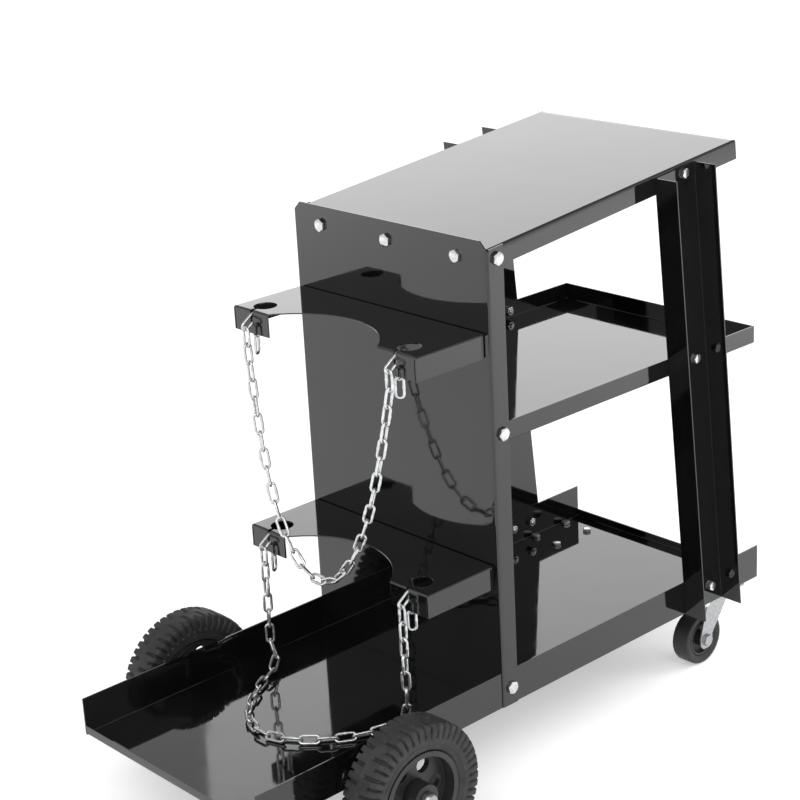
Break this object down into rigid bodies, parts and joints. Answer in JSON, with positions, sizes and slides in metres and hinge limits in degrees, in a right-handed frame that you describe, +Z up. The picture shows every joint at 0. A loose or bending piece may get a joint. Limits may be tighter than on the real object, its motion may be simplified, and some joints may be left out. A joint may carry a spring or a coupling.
{
  "type": "welding cart",
  "caption": "Folded-sheet welding cart: base tray with cylinder platform, mid tray, tilted top shelf, chained cylinder brackets, rear wheels and swivel casters.",
  "frame": {"origin": "on the ground, under the middle of the cart's bounding box", "axes": "+Z up; +Y along the cart from the cylinder platform to the front casters; +X to the right of someone who faces +Y"},
  "size_m": [0.4382, 0.787, 0.6439],
  "materials": {
    "black_paint": "high gloss black paint",
    "zinc_bolts": "bright zinc",
    "zinc_chain": "bright zinc",
    "axle_steel": "plain steel",
    "caster_steel": "zinc plated",
    "tyre_rubber": "black rubber with block tread",
    "caster_tread": "smooth black rubber",
    "wheel_plastic": "moulded black plastic"
  },
  "bodies": {
    "cart": {"base_tray": "black_paint", "back_panel": "black_paint", "mid_tray": "black_paint", "top_shelf": "black_paint", "left_upright": "black_paint", "right_upright": "black_paint", "upper_cylinder_bracket": "black_paint", "lower_cylinder_bracket": "black_paint", "left_axle_bracket": "black_paint", "right_axle_bracket": "black_paint", "panel_bolt_left": "zinc_bolts", "panel_bolt_middle": "zinc_bolts", "panel_bolt_right": "zinc_bolts", "left_top_bolt": "zinc_bolts", "left_mid_bolt": "zinc_bolts", "left_base_bolt": "zinc_bolts", "left_upright_top_bolt": "zinc_bolts", "left_upright_mid_bolt": "zinc_bolts", "left_upright_base_bolt_front": "zinc_bolts", "left_upright_base_bolt_rear": "zinc_bolts", "upper_bracket_bolt_left": "zinc_bolts", "lower_bracket_bolt_left": "zinc_bolts", "left_caster_bolt_rear_inner": "zinc_bolts", "left_caster_bolt_rear_outer": "zinc_bolts", "left_caster_bolt_front_inner": "zinc_bolts", "left_caster_bolt_front_outer": "zinc_bolts", "right_top_bolt": "zinc_bolts", "right_mid_bolt": "zinc_bolts", "right_base_bolt": "zinc_bolts", "right_upright_top_bolt": "zinc_bolts", "right_upright_mid_bolt": "zinc_bolts", "right_upright_base_bolt_front": "zinc_bolts", "right_upright_base_bolt_rear": "zinc_bolts", "upper_bracket_bolt_right": "zinc_bolts", "lower_bracket_bolt_right": "zinc_bolts", "right_caster_bolt_rear_inner": "zinc_bolts", "right_caster_bolt_rear_outer": "zinc_bolts", "right_caster_bolt_front_inner": "zinc_bolts", "right_caster_bolt_front_outer": "zinc_bolts", "upper_chain_left_end": "zinc_chain", "upper_chain_right_end": "zinc_chain", "lower_chain_left_end": "zinc_chain", "lower_chain_right_end": "zinc_chain", "rear_axle": "axle_steel", "left_axle_cap": "axle_steel", "left_caster_plate": "caster_steel", "right_axle_cap": "axle_steel", "right_caster_plate": "caster_steel"},
    "left_wheel": {"left_rear_tyre": "tyre_rubber", "left_rear_hub": "wheel_plastic"},
    "left_caster": {"left_caster_fork": "caster_steel"},
    "left_caster_wheel": {"left_caster_tyre": "caster_tread", "left_caster_hub": "wheel_plastic"},
    "right_wheel": {"right_rear_tyre": "tyre_rubber", "right_rear_hub": "wheel_plastic"},
    "right_caster": {"right_caster_fork": "caster_steel"},
    "right_caster_wheel": {"right_caster_tyre": "caster_tread", "right_caster_hub": "wheel_plastic"},
    "upper_chain": {"upper_chain": "zinc_chain"},
    "lower_chain": {"lower_chain": "zinc_chain"}
  },
  "joints": [
    {"name": "left_wheel_spin", "type": "hinge", "parent": "cart", "child": "left_wheel", "pos_m": [-0.186, -0.2255, 0.08], "axis": [1, 0, 0], "continuous": true},
    {"name": "right_wheel_spin", "type": "hinge", "parent": "cart", "child": "right_wheel", "pos_m": [0.186, -0.2255, 0.08], "axis": [1, 0, 0], "continuous": true},
    {"name": "left_caster_swivel", "type": "hinge", "parent": "cart", "child": "left_caster", "pos_m": [-0.121, 0.3325, 0.08], "axis": [0, 0, 1], "continuous": true},
    {"name": "left_caster_roll", "type": "hinge", "parent": "left_caster", "child": "left_caster_wheel", "pos_m": [-0.121, 0.3105, 0.0325], "axis": [1, 0, 0], "continuous": true},
    {"name": "right_caster_swivel", "type": "hinge", "parent": "cart", "child": "right_caster", "pos_m": [0.121, 0.3325, 0.08], "axis": [0, 0, 1], "continuous": true},
    {"name": "right_caster_roll", "type": "hinge", "parent": "right_caster", "child": "right_caster_wheel", "pos_m": [0.121, 0.3105, 0.0325], "axis": [1, 0, 0], "continuous": true},
    {"name": "upper_chain_swing", "type": "hinge", "parent": "cart", "child": "upper_chain", "pos_m": [0, -0.16019, 0.47743], "axis": [-1, 0, 0], "range_deg": [0, 80]},
    {"name": "lower_chain_swing", "type": "hinge", "parent": "cart", "child": "lower_chain", "pos_m": [0, -0.16019, 0.21983], "axis": [-1, 0, 0], "range_deg": [0, 80]}
  ]
}
